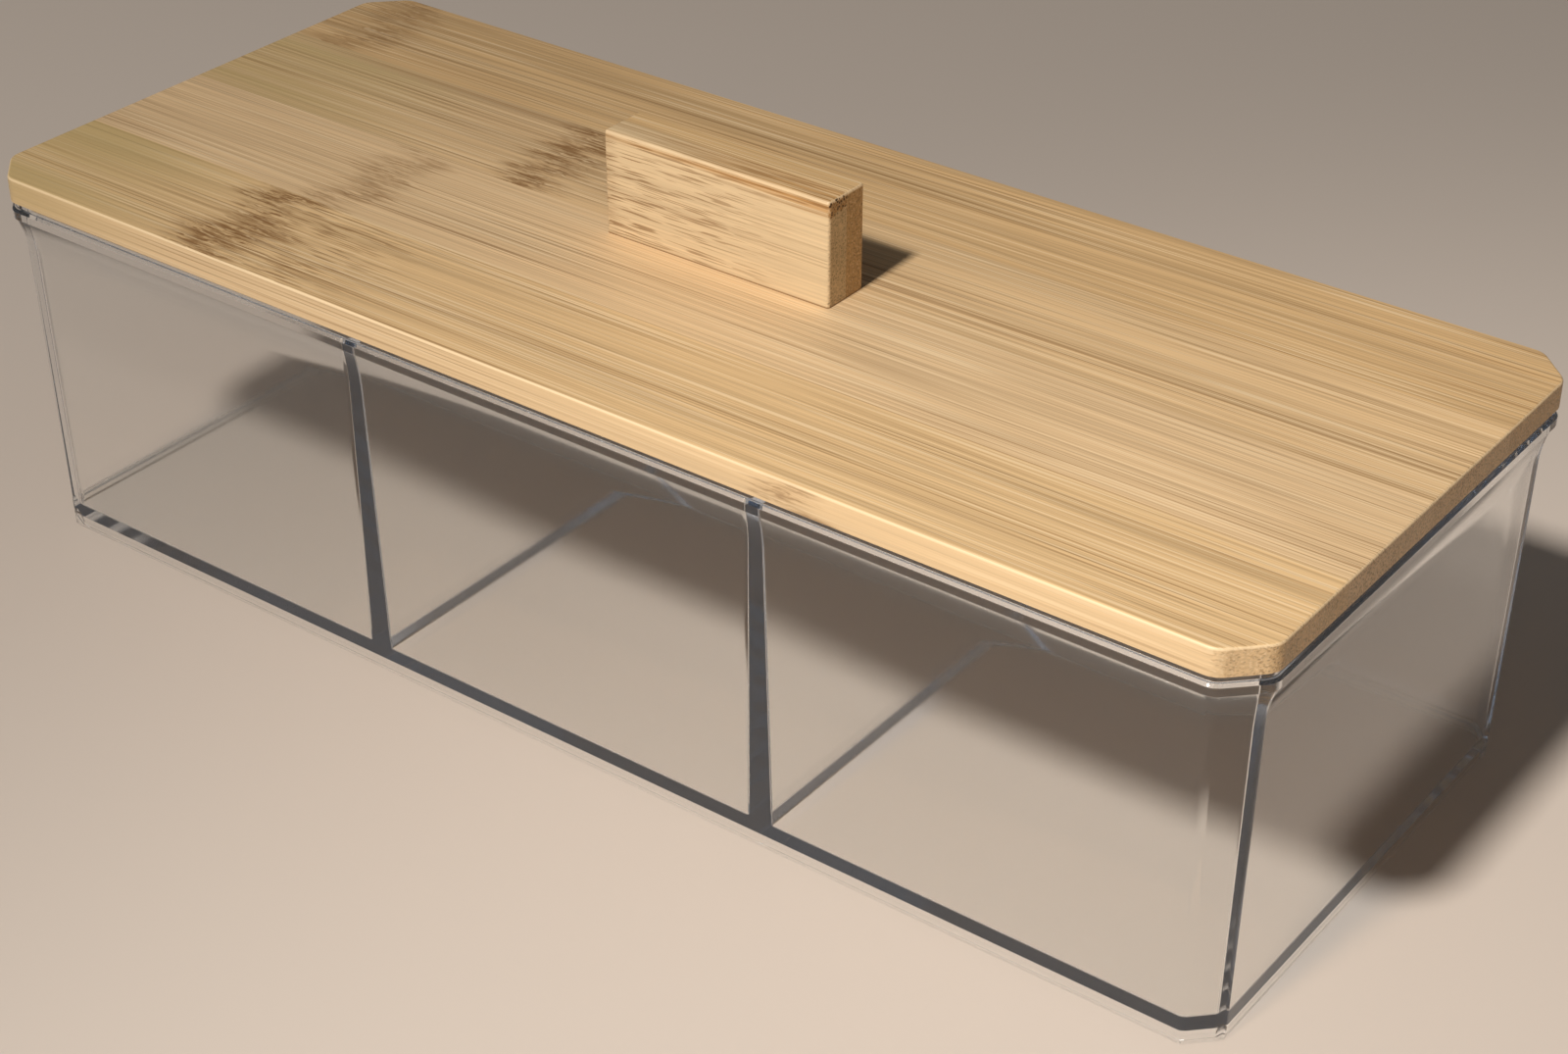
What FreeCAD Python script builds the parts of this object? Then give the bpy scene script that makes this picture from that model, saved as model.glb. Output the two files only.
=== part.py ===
"""Clear three-compartment organizer box with a lift-off bamboo lid and a block handle.

Millimetres, +Z up, X along the box, the origin on the table under the middle of the box.
"""
import FreeCAD, Part
import math
import os
import Sketcher

# Driving dimensions: one cell each, named once
SIZES = {
    "lid_length": 270.0,
    "lid_depth": 109.0,
    "lid_thickness": 5.0,
    "corner_cut": 6.8,
    "core_corner": 0.2,
    "core_overlap": 0.15,
    "inner_corner": 1.0,
    "lid_edge_round": 0.5,
    "inset_thickness": 3.0,
    "inset_clearance": 0.6,
    "inset_lead": 0.6,
    "box_height": 72.0,
    "wall_thickness": 2.5,
    "floor_thickness": 2.7,
    "foot_height": 1.9,
    "base_round": 0.7,
    "draft_angle": 1.0,
    "cove_height": 7.4,
    "cove_reach": 1.3,
    "flange_height": 2.2,
    "flange_shelf": 0.1,
    "flange_round": 0.3,
    "flange_bevel": 0.5,
    "lip_height": 1.4,
    "lip_ledge": 0.4,
    "lip_bevel": 0.4,
    "divider_thickness": 2.3,
    "divider_clearance": 0.6,
    "divider_corner": 0.8,
    "floor_round": 0.5,
    "handle_length": 49.0,
    "handle_height": 20.0,
    "handle_ply": 5.0,
    "handle_edge_round": 0.6,
    "screw_spacing": 28.0,
    "screw_diameter": 3.5,
    "screw_head": 7.0,
    "screw_length": 20.0,
    "screw_tip": 3.0,
    "screw_clearance": 0.15,
    "recess_length": 3.6,
    "recess_width": 0.9,
    "recess_depth": 1.2,
}
STRIP_COUNT = 4
TOLERANCE = 1e-4

doc = FreeCAD.newDocument("organizer_box")
sheet = doc.addObject("Spreadsheet::Sheet", "Sizes")
for row, (alias, value) in enumerate(SIZES.items(), start=1):
    sheet.set(f"A{row}", alias)
    sheet.set(f"B{row}", str(value))
    sheet.setAlias(f"B{row}", alias)
doc.recompute()

# Sizes that several pieces share, worked out from the sheet
shared = doc.addObject("App::VarSet", "Shared")
probe = doc.addObject("App::VarSet", "Probe")
probe.addProperty("App::PropertyFloat", "reading")


def share(name, expression):
    """Keep a worked-out size under its own name, tied to the sheet."""
    shared.addProperty("App::PropertyFloat", name)
    shared.setExpression(name, expression)
    shared.recompute()


def worked_out(expression):
    """The number that an expression of the sizes gives now."""
    probe.setExpression("reading", expression)
    probe.recompute()
    return probe.reading


share("slope", "tan(Sizes.draft_angle)")
share("flange_reach", "Sizes.flange_round + Sizes.flange_shelf")
share("lip_inset", "Sizes.flange_bevel + Sizes.lip_ledge")
share("rim_reach", "Shared.flange_reach + Sizes.cove_reach")
share("flange_top", "Sizes.box_height - Sizes.lip_height")
share("flange_bottom", "Shared.flange_top - Sizes.flange_height")
share("cove_foot", "Shared.flange_bottom - Sizes.cove_height")
share("base_inset", "Shared.rim_reach + Sizes.box_height * Shared.slope")
share("core_inset", "Shared.base_inset + Sizes.base_round + Sizes.core_overlap")
share("lid_corner", "Shared.core_inset + Sizes.core_corner")
share("bend", "sqrt(2) - 1")
share("cut_fall", "2 - sqrt(2)")
share("seat_inset", "Shared.rim_reach + Sizes.wall_thickness")
share("divider_drop", "Sizes.inset_thickness + Sizes.divider_clearance")
share("divider_top", "Sizes.box_height - Shared.divider_drop")
share("divider_inset", "Shared.seat_inset + Shared.divider_drop * Shared.slope")
share("bay_corner", "Sizes.inner_corner - Shared.divider_drop * Shared.slope")
share("floor_top", "Sizes.foot_height + Sizes.floor_thickness")
share("bay_shrink", "(Shared.divider_top - Shared.floor_top) * Shared.slope")
share("bay_half", "Sizes.lid_length / 2 - Shared.divider_inset")
share("bay_length", "(2 * Shared.bay_half - 2 * Sizes.divider_thickness) / 3")
share("lid_top", "Sizes.box_height + Sizes.lid_thickness")
share("lid_bottom", "Sizes.box_height - Sizes.inset_thickness")
share("strip_depth", f"Sizes.lid_depth / {STRIP_COUNT}")
share("screw_hole", "Sizes.screw_diameter / 2 + Sizes.screw_clearance")
share("screw_sink", "(Sizes.screw_head - Sizes.screw_diameter) / 2")


def new_body(name):
    """Start a piece; its label names its file."""
    body = doc.addObject("PartDesign::Body", name)
    body.Label = name
    return body


def new_sketch(body, name, role="XY_Plane", height=None):
    """Attach an empty sketch to one of the body's own planes, raised by an expression."""
    planes = {feature.Role: feature for feature in body.Origin.OriginFeatures}
    sketch = body.newObject("Sketcher::SketchObject", name)
    sketch.AttachmentSupport = [(planes[role], "")]
    sketch.MapMode = "FlatFace"
    if height:
        sketch.setExpression("AttachmentOffset.Base.z", height)
    return sketch


def relate(sketch, kind, *places):
    """Add a geometric constraint."""
    sketch.addConstraint(Sketcher.Constraint(kind, *places))


def measure(sketch, name, kind, places, expression):
    """Add a dimension, name it and tie it to the sizes."""
    value = worked_out(expression)
    if kind == "Angle":
        value = math.radians(value)
    index = sketch.addConstraint(Sketcher.Constraint(kind, *places, value))
    sketch.renameConstraint(index, name)
    sketch.setExpression(f"Constraints.{name}", expression)


def corner_arc(centre_x, centre_y, radius, start, turns=1.0):
    """An arc whose start and length are in quarter turns, anticlockwise from the +X direction."""
    circle = Part.Circle(FreeCAD.Vector(centre_x, centre_y, 0), FreeCAD.Vector(0, 0, 1), radius)
    return Part.ArcOfCircle(circle, start * math.pi / 2, (start + turns) * math.pi / 2)


def line(start, end):
    """A straight sketch line between two points of its plane."""
    return Part.LineSegment(FreeCAD.Vector(*start, 0), FreeCAD.Vector(*end, 0))


def corner_lines(place, radius, cut, quarter):
    """A round corner of an outline, or one cut off at 45 degrees with both bends rounded.

    The outline runs anticlockwise through the place of the sharp corner.
    """
    ahead = FreeCAD.Vector(-math.sin(quarter * math.pi / 2), math.cos(quarter * math.pi / 2), 0)
    aside = FreeCAD.Vector(-ahead.y, ahead.x, 0)
    if not cut:
        centre = place - ahead * radius + aside * radius
        return [corner_arc(centre.x, centre.y, radius, quarter)]
    setback = cut + radius * (math.sqrt(2) - 1)
    first = place - ahead * setback + aside * radius
    second = place + aside * setback - ahead * radius
    reach = (ahead - aside) * (radius / math.sqrt(2))
    return [
        corner_arc(first.x, first.y, radius, quarter, 0.5),
        Part.LineSegment(first + reach, second + reach),
        corner_arc(second.x, second.y, radius, quarter + 0.5, 0.5),
    ]


def outline(sketch, left, right, half_depth, left_corner, right_corner):
    """Draw a rectangle, even about X, with round or cut corners, whose sides stand at signed places in X.

    Each place is a pair: the sign of X and the expression of its distance from the origin.
    Each corner is a pair of expressions: its radius, and its cut or None.
    """
    low_x = left[0] * worked_out(left[1])
    high_x = right[0] * worked_out(right[1])
    depth = worked_out(half_depth)
    places = [(high_x, depth), (low_x, depth), (low_x, -depth), (high_x, -depth)]
    kinds = [right_corner, left_corner, left_corner, right_corner]
    corners = []
    for quarter, (radius, cut) in enumerate(kinds):
        place = FreeCAD.Vector(*places[quarter], 0)
        corners.append(corner_lines(place, worked_out(radius), worked_out(cut) if cut else 0, quarter))

    geometry = []
    sides, bends = [], []
    for quarter in range(4):
        sides.append(len(geometry))
        geometry.append(Part.LineSegment(corners[quarter - 1][-1].EndPoint, corners[quarter][0].StartPoint))
        bends.append([len(geometry), len(geometry) + len(corners[quarter]) - 1])
        geometry += corners[quarter]
    sketch.addGeometry(geometry, False)

    count = len(geometry)
    for index in range(count):
        relate(sketch, "Tangent", index, 2, (index + 1) % count, 1)
    for quarter in range(4):
        relate(sketch, "Horizontal" if quarter % 2 else "Vertical", sides[quarter])
    for name, quarter, (sign, expression) in (("right_side", 0, right), ("left_side", 2, left)):
        ends = (-1, 1, sides[quarter], 1) if sign > 0 else (sides[quarter], 1, -1, 1)
        measure(sketch, name, "DistanceX", ends, expression)
    measure(sketch, "back_side", "DistanceY", (-1, 1, sides[1], 1), half_depth)
    measure(sketch, "front_side", "DistanceY", (sides[3], 1, -1, 1), half_depth)
    for quarter, (radius, cut) in enumerate(kinds):
        first, second = bends[quarter]
        measure(sketch, f"radius_{quarter}", "Radius", (first,), radius)
        if not cut:
            continue
        relate(sketch, "Equal", first, second)
        setback = f"({cut}) + ({radius}) * Shared.bend"
        along, across = ("DistanceX", "DistanceY") if quarter % 2 else ("DistanceY", "DistanceX")
        next_side, last_side = sides[(quarter + 1) % 4], sides[quarter]
        ends = (first, 3, next_side, 1) if quarter in (0, 3) else (next_side, 1, first, 3)
        measure(sketch, f"cut_{quarter}_along", along, ends, setback)
        ends = (second, 3, last_side, 1) if quarter in (0, 1) else (last_side, 1, second, 3)
        measure(sketch, f"cut_{quarter}_across", across, ends, setback)


def rectangle(sketch, length, depth):
    """Draw a plain rectangle about the origin."""
    half_x = worked_out(length) / 2
    half_y = worked_out(depth) / 2
    corners = [(half_x, -half_y), (half_x, half_y), (-half_x, half_y), (-half_x, -half_y)]
    sketch.addGeometry([line(corners[index], corners[(index + 1) % 4]) for index in range(4)], False)
    for index in range(4):
        relate(sketch, "Coincident", index, 2, (index + 1) % 4, 1)
        relate(sketch, "Vertical" if index % 2 == 0 else "Horizontal", index)
    relate(sketch, "Symmetric", 0, 1, 1, 2, -1, 1)
    measure(sketch, "depth", "DistanceY", (0, 1, 0, 2), depth)
    measure(sketch, "length", "DistanceX", (1, 2, 1, 1), length)


def cut_at(inset):
    """The corner cut of an outline drawn in from the lid's."""
    return f"Sizes.corner_cut - ({inset}) * Shared.cut_fall"


def lid_outline(sketch, inset, radius="Sizes.inner_corner"):
    """Draw the lid's outline, drawn in all round by an expression."""
    half_length = f"Sizes.lid_length / 2 - ({inset})"
    half_depth = f"Sizes.lid_depth / 2 - ({inset})"
    corner = (radius, cut_at(inset))
    outline(sketch, (-1, half_length), (1, half_length), half_depth, corner, corner)


def extrude(body, kind, name, sketch, length, taper=None, upward=False):
    """Pad or pocket a sketch by an expression, drawn in or out by a draft angle."""
    feature = body.newObject(f"PartDesign::{kind}", name)
    feature.Profile = sketch
    feature.setExpression("Length", length)
    if taper:
        feature.setExpression("TaperAngle", taper)
    if upward:
        feature.Reversed = True
    doc.recompute()
    return feature


def edges_where(feature, test):
    """Name the edges of a feature whose bounding box passes a test."""
    edges = feature.Shape.Edges
    return [f"Edge{index}" for index, edge in enumerate(edges, start=1) if test(edge.BoundBox)]


def soften(body, kind, name, feature, edges, size_name, expression):
    """Fillet or chamfer the named edges of a feature."""
    dressed = body.newObject(f"PartDesign::{kind}", name)
    dressed.Base = (feature, edges)
    dressed.setExpression(size_name, expression)
    doc.recompute()
    return dressed


def level(box, height):
    """Whether a bounding box lies flat at a height."""
    return abs(box.ZMin - height) < TOLERANCE and abs(box.ZMax - height) < TOLERANCE


def wall_section(sketch):
    """Draw the wall's section at the right end: foot, drafted wall, cove, flange and lip."""
    edge = sheet.lid_length / 2
    core = edge - shared.core_inset
    base = edge - shared.base_inset
    foot = edge - shared.rim_reach - (sheet.box_height - shared.cove_foot) * shared.slope
    cove_end = edge - shared.flange_reach
    lip = edge - shared.lip_inset
    base_round, flange_round = sheet.base_round, sheet.flange_round
    flange_bevel, lip_bevel = sheet.flange_bevel, sheet.lip_bevel
    flange_bottom, flange_top, top = shared.flange_bottom, shared.flange_top, sheet.box_height
    cove_middle = ((foot + cove_end) / 2 - sheet.cove_reach / 4, (shared.cove_foot + flange_bottom) / 2)
    cove_points = [(foot, shared.cove_foot), cove_middle, (cove_end, flange_bottom)]
    sketch.addGeometry([
        line((core, 0), (base - base_round, 0)),
        corner_arc(base - base_round, base_round, base_round, 3),
        line((base, base_round), cove_points[0]),
        Part.Arc(*[FreeCAD.Vector(*point, 0) for point in cove_points]),
        line(cove_points[2], (edge - flange_round, flange_bottom)),
        corner_arc(edge - flange_round, flange_bottom + flange_round, flange_round, 3),
        line((edge, flange_bottom + flange_round), (edge, flange_top - flange_bevel)),
        line((edge, flange_top - flange_bevel), (edge - flange_bevel, flange_top)),
        line((edge - flange_bevel, flange_top), (lip, flange_top)),
        line((lip, flange_top), (lip, top - lip_bevel)),
        line((lip, top - lip_bevel), (lip - lip_bevel, top)),
        line((lip - lip_bevel, top), (core, top)),
        line((core, top), (core, 0)),
    ], False)
    bottom, foot_arc, wall, cove, under, low_arc, face = range(7)
    high_bevel, ledge, lip_side, top_bevel, rim, inner = range(7, 13)
    for first, second in ((bottom, foot_arc), (foot_arc, wall), (under, low_arc), (low_arc, face)):
        relate(sketch, "Tangent", first, 2, second, 1)
    # The cove bulges inwards, so as an anticlockwise arc it starts at the flange and ends at the wall
    relate(sketch, "Tangent", wall, 2, cove, 2)
    relate(sketch, "Coincident", cove, 1, under, 1)
    for first, second in ((face, high_bevel), (high_bevel, ledge), (ledge, lip_side), (lip_side, top_bevel),
                          (top_bevel, rim), (rim, inner), (inner, bottom)):
        relate(sketch, "Coincident", first, 2, second, 1)
    for index in (bottom, under, ledge, rim):
        relate(sketch, "Horizontal", index)
    for index in (face, lip_side, inner):
        relate(sketch, "Vertical", index)
    relate(sketch, "PointOnObject", bottom, 1, -1)
    measure(sketch, "core_side", "DistanceX", (-1, 1, bottom, 1), "Sizes.lid_length / 2 - Shared.core_inset")
    measure(sketch, "cove_end", "DistanceX", (-1, 1, under, 1), "Sizes.lid_length / 2 - Shared.flange_reach")
    measure(sketch, "flange_side", "DistanceX", (-1, 1, face, 1), "Sizes.lid_length / 2")
    measure(sketch, "lip_side", "DistanceX", (-1, 1, lip_side, 1), "Sizes.lid_length / 2 - Shared.lip_inset")
    measure(sketch, "cove_foot", "DistanceX", (-1, 1, wall, 2),
            "Sizes.lid_length / 2 - Shared.rim_reach"
            " - (Sizes.box_height - Shared.cove_foot) * Shared.slope")
    measure(sketch, "cove_foot_height", "DistanceY", (-1, 1, wall, 2), "Shared.cove_foot")
    measure(sketch, "flange_bottom", "DistanceY", (-1, 1, under, 1), "Shared.flange_bottom")
    measure(sketch, "flange_top", "DistanceY", (-1, 1, ledge, 1), "Shared.flange_top")
    measure(sketch, "rim_height", "DistanceY", (-1, 1, rim, 1), "Sizes.box_height")
    measure(sketch, "wall_lean", "Angle", (wall,), "90 - Sizes.draft_angle")
    measure(sketch, "base_round", "Radius", (foot_arc,), "Sizes.base_round")
    measure(sketch, "flange_round", "Radius", (low_arc,), "Sizes.flange_round")
    for index, name in ((high_bevel, "flange_bevel"), (top_bevel, "lip_bevel")):
        measure(sketch, f"{name}_reach", "DistanceX", (index, 2, index, 1), f"Sizes.{name}")
        measure(sketch, f"{name}_rise", "DistanceY", (index, 1, index, 2), f"Sizes.{name}")


def bay_outline(sketch, name, inset):
    """Draw one compartment's outline, drawn in all round by an expression."""
    outer_side = f"Shared.bay_half - ({inset})"
    middle_side = f"Shared.bay_length / 2 - ({inset})"
    end_side = f"Shared.bay_length / 2 + Sizes.divider_thickness + ({inset})"
    outer = ("Shared.bay_corner", cut_at(f"Shared.divider_inset + {inset}"))
    inner = ("Sizes.divider_corner", None)
    sides = {
        "left_bay": ((-1, outer_side), (-1, end_side), outer, inner),
        "middle_bay": ((-1, middle_side), (1, middle_side), inner, inner),
        "right_bay": ((1, end_side), (1, outer_side), inner, outer),
    }
    left, right, left_corner, right_corner = sides[name]
    half_depth = f"Sizes.lid_depth / 2 - Shared.divider_inset - ({inset})"
    outline(sketch, left, right, half_depth, left_corner, right_corner)


def make_box():
    """The clear moulding: swept wall, raised floor, lid seat and three drafted compartments."""
    body = new_body("box")

    core_outline = new_sketch(body, "core_outline")
    lid_outline(core_outline, "Shared.core_inset", "Sizes.core_corner")
    extrude(body, "Pad", "core", core_outline, "Sizes.box_height")

    rim_path = new_sketch(body, "rim_path")
    lid_outline(rim_path, "0", "Shared.lid_corner")
    section = new_sketch(body, "section", "XZ_Plane")
    wall_section(section)
    doc.recompute()
    wall = body.newObject("PartDesign::AdditivePipe", "wall")
    wall.Profile = section
    wall.Spine = (rim_path, [])
    doc.recompute()

    seat_outline = new_sketch(body, "seat_outline", height="Sizes.box_height")
    lid_outline(seat_outline, "Shared.seat_inset")
    extrude(body, "Pocket", "seat", seat_outline, "Shared.divider_drop", "-Sizes.draft_angle")

    for name in ("left_bay", "middle_bay", "right_bay"):
        mouth = new_sketch(body, f"{name}_mouth", height="Shared.divider_top")
        bay_outline(mouth, name, "0")
        ground = new_sketch(body, f"{name}_ground", height="Shared.floor_top")
        bay_outline(ground, name, "Shared.bay_shrink")
        hollow = body.newObject("PartDesign::SubtractiveLoft", name)
        hollow.Profile = mouth
        hollow.Sections = [ground]
        hollow.Ruled = True
        doc.recompute()

    floor_edges = edges_where(hollow, lambda box: level(box, shared.floor_top))
    soften(body, "Fillet", "floor_fillet", hollow, floor_edges, "Radius", "Sizes.floor_round")

    foot_outline = new_sketch(body, "foot_outline")
    lid_outline(foot_outline, "Shared.base_inset + Sizes.wall_thickness")
    extrude(body, "Pocket", "foot_recess", foot_outline, "Sizes.foot_height", upward=True)
    return body


def screw_holes(body, name, height, depth, sunk=False):
    """Bore the two screw holes upwards from a height, and countersink them at their mouth."""
    sketch = new_sketch(body, f"{name}_sketch", height=height)
    for index, sign in enumerate((-1, 1)):
        centre = FreeCAD.Vector(sign * sheet.screw_spacing / 2, 0, 0)
        sketch.addGeometry(Part.Circle(centre, FreeCAD.Vector(0, 0, 1), shared.screw_hole), False)
        places = (index, 3, -1, 1) if sign < 0 else (-1, 1, index, 3)
        measure(sketch, f"place_{index}", "DistanceX", places, "Sizes.screw_spacing / 2")
        relate(sketch, "PointOnObject", index, 3, -1)
        measure(sketch, f"hole_{index}", "Radius", (index,), "Shared.screw_hole")
    bore = extrude(body, "Pocket", name, sketch, depth, upward=True)
    if sunk:
        mouth = edges_where(bore, lambda box: level(box, shared.lid_bottom)
                            and max(abs(box.YMin), abs(box.YMax)) < sheet.screw_head)
        soften(body, "Chamfer", f"{name}_sink", bore, mouth, "Size", "Shared.screw_sink")


def make_lid_blank():
    """The lid board as it is machined, before it is told apart into its glued strips."""
    body = new_body("lid_blank")
    shape = new_sketch(body, "lid_outline", height="Sizes.box_height")
    lid_outline(shape, "0", "Shared.lid_corner")
    board = extrude(body, "Pad", "lid_board", shape, "Sizes.lid_thickness")
    top_edges = edges_where(board, lambda box: level(box, shared.lid_top))
    soften(body, "Fillet", "lid_edge", board, top_edges, "Radius", "Sizes.lid_edge_round")
    screw_holes(body, "lid_holes", "Sizes.box_height", "Sizes.lid_thickness")
    return body


def make_inset():
    """The thinner board under the lid that drops inside the rim."""
    body = new_body("lid_inset")
    shape = new_sketch(body, "inset_outline", height="Shared.lid_bottom")
    lid_outline(shape, "Shared.seat_inset + Sizes.inset_clearance")
    board = extrude(body, "Pad", "inset_board", shape, "Sizes.inset_thickness")
    lower_edges = edges_where(board, lambda box: level(box, shared.lid_bottom))
    soften(body, "Chamfer", "inset_lead", board, lower_edges, "Size", "Sizes.inset_lead")
    screw_holes(body, "inset_holes", "Shared.lid_bottom", "Sizes.inset_thickness", sunk=True)
    return body


def make_handle_blank():
    """The handle block as it is machined, before it is told apart into its two plies."""
    body = new_body("handle_blank")
    shape = new_sketch(body, "handle_outline", height="Shared.lid_top")
    rectangle(shape, "Sizes.handle_length", "2 * Sizes.handle_ply")
    block = extrude(body, "Pad", "handle_block", shape, "Sizes.handle_height")
    open_edges = edges_where(block, lambda box: not level(box, shared.lid_top))
    soften(body, "Fillet", "handle_edge", block, open_edges, "Radius", "Sizes.handle_edge_round")
    depth = "Sizes.screw_length - Sizes.inset_thickness - Sizes.lid_thickness + Sizes.screw_clearance"
    screw_holes(body, "handle_holes", "Shared.lid_top", depth)
    return body


def cut_slice(blank, label, low, depth, bottom, height):
    """Take one slice of a blank between two planes across Y; places and sizes are expressions."""
    cutter = doc.addObject("Part::Box", f"{label}_cutter")
    cutter.setExpression("Length", "Sizes.lid_length")
    cutter.setExpression("Width", depth)
    cutter.setExpression("Height", height)
    cutter.setExpression("Placement.Base.x", "-Sizes.lid_length / 2")
    cutter.setExpression("Placement.Base.y", low)
    cutter.setExpression("Placement.Base.z", bottom)
    piece = doc.addObject("Part::Common", label)
    piece.Base = blank
    piece.Tool = cutter
    piece.Label = label
    return piece


def make_screws():
    """Two countersunk screws as one group: a turned body, a cross recess and its mirror image."""
    body = new_body("screw")
    profile = new_sketch(body, "screw_profile", "XZ_Plane")
    head, shank = sheet.screw_head / 2, sheet.screw_diameter / 2
    sink, length, tip = shared.screw_sink, sheet.screw_length, sheet.screw_tip
    corners = [(0, 0), (head, 0), (shank, sink), (shank, length - tip), (0, length)]
    count = len(corners)
    profile.addGeometry([line(corners[index], corners[(index + 1) % count]) for index in range(count)], False)
    for index in range(count):
        relate(profile, "Coincident", index, 2, (index + 1) % count, 1)
    relate(profile, "Coincident", 0, 1, -1, 1)
    relate(profile, "Horizontal", 0)
    relate(profile, "Vertical", 2)
    relate(profile, "Vertical", 4)
    measure(profile, "head", "DistanceX", (-1, 1, 0, 2), "Sizes.screw_head / 2")
    measure(profile, "shank", "DistanceX", (-1, 1, 1, 2), "Sizes.screw_diameter / 2")
    measure(profile, "sink", "DistanceY", (-1, 1, 1, 2), "Shared.screw_sink")
    measure(profile, "shoulder", "DistanceY", (-1, 1, 2, 2), "Sizes.screw_length - Sizes.screw_tip")
    measure(profile, "length", "DistanceY", (-1, 1, 3, 2), "Sizes.screw_length")
    turned = body.newObject("PartDesign::Revolution", "turned")
    turned.Profile = profile
    turned.ReferenceAxis = (profile, ["V_Axis"])
    turned.Angle = 360
    doc.recompute()
    for name, along, across in (("recess_along", "recess_length", "recess_width"),
                                ("recess_across", "recess_width", "recess_length")):
        slot = new_sketch(body, f"{name}_sketch")
        rectangle(slot, f"Sizes.{along}", f"Sizes.{across}")
        extrude(body, "Pocket", name, slot, "Sizes.recess_depth", upward=True)
    body.setExpression("Placement.Base.x", "Sizes.screw_spacing / 2")
    body.setExpression("Placement.Base.z", "Shared.lid_bottom")
    twin = doc.addObject("Part::Mirroring", "screw_twin")
    twin.Source = body
    twin.Normal = FreeCAD.Vector(1, 0, 0)
    group = doc.addObject("Part::Compound", "handle_screws")
    group.Links = [body, twin]
    group.Label = "handle_screws"
    return group


pieces = [make_box(), make_inset(), make_screws()]

lid_blank = make_lid_blank()
for number in range(STRIP_COUNT):
    front = f"-Sizes.lid_depth / 2 + {number} * Shared.strip_depth"
    strip = cut_slice(lid_blank, f"lid_strip_{number + 1}", front, "Shared.strip_depth",
                      "Sizes.box_height", "Sizes.lid_thickness")
    pieces.append(strip)

handle_blank = make_handle_blank()
for label, front in (("handle_front_ply", "-Sizes.handle_ply"), ("handle_rear_ply", "0")):
    ply = cut_slice(handle_blank, label, front, "Sizes.handle_ply", "Shared.lid_top", "Sizes.handle_height")
    pieces.append(ply)

doc.recompute()

faulty = [item.Label for item in doc.Objects if {"Invalid", "Error"} & set(item.State)]
if faulty:
    raise RuntimeError("failed objects: " + ", ".join(faulty))
for piece in pieces:
    if piece.Shape.isNull() or not piece.Shape.isValid():
        raise RuntimeError("bad shape: " + piece.Label)

os.makedirs("parts", exist_ok=True)
for piece in pieces:
    piece.Shape.exportStep(f"parts/{piece.Label}.step")
    bounds = piece.Shape.optimalBoundingBox(False)
    print(piece.Label, len(piece.Shape.Solids), round(piece.Shape.Volume, 1), bounds)
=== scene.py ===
"""Looks of the clear three-compartment organizer box with its glued bamboo lid and block handle.

Metres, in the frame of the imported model: X along the box, +Y to the back, +Z up. The wood's patterns are
given in millimetres.
"""

import math
from collections import namedtuple

import bpy
from mathutils import Matrix, Vector


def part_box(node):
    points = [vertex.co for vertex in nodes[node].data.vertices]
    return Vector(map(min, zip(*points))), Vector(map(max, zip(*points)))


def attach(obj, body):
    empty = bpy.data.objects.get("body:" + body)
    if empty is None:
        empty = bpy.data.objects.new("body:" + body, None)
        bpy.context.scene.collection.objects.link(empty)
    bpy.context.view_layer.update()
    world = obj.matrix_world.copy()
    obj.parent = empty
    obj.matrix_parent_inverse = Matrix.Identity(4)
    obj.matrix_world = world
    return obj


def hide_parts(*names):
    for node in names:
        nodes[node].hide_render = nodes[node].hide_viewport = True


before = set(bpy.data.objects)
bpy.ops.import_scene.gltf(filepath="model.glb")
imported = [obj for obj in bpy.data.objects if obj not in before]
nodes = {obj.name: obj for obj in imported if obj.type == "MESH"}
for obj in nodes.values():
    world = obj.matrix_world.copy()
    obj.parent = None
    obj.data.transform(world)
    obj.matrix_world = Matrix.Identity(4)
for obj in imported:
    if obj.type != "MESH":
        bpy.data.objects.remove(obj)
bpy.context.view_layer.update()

MM = 0.001

# The moulding's sizes
CORNER_CUT = 6.8 * MM
INNER_CORNER = 1.0 * MM
LEAST_CORNER = 0.2 * MM
WALL = 2.5 * MM
FOOT_HEIGHT = 1.9 * MM
FLOOR_THICKNESS = 2.7 * MM
BASE_ROUND = 0.7 * MM
CORE_MARGIN = 0.35 * MM
SLOPE = math.tan(math.radians(1.0))
COVE_HEIGHT = 7.4 * MM
COVE_REACH = 1.3 * MM
FLANGE_HEIGHT = 2.2 * MM
FLANGE_SHELF = 0.1 * MM
FLANGE_ROUND = 0.3 * MM
FLANGE_BEVEL = 0.5 * MM
LIP_HEIGHT = 1.4 * MM
LIP_LEDGE = 0.4 * MM
LIP_BEVEL = 0.4 * MM
BAYS = 3
DIVIDER_THICKNESS = 2.3 * MM
DIVIDER_CLEARANCE = 0.6 * MM
DIVIDER_CORNER = 0.8 * MM
FLOOR_ROUND = 0.5 * MM
EDGE_ROUND = 0.15 * MM
DIVIDER_EDGE = 0.25 * MM

# Steps of the moulding's bends: its upright corners, the dividers' corners, its rounded edges, its cove
BEND_STEPS = 6
DIVIDER_STEPS = 6
EDGE_STEPS = 5
COVE_STEPS = 12

# Points on the front and on the back of each ring, where the dividers' corners meet the wall
STATIONS = 4

SHARP_ANGLE = math.radians(30)
FLAT_FACE_WEIGHT = 100

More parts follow.
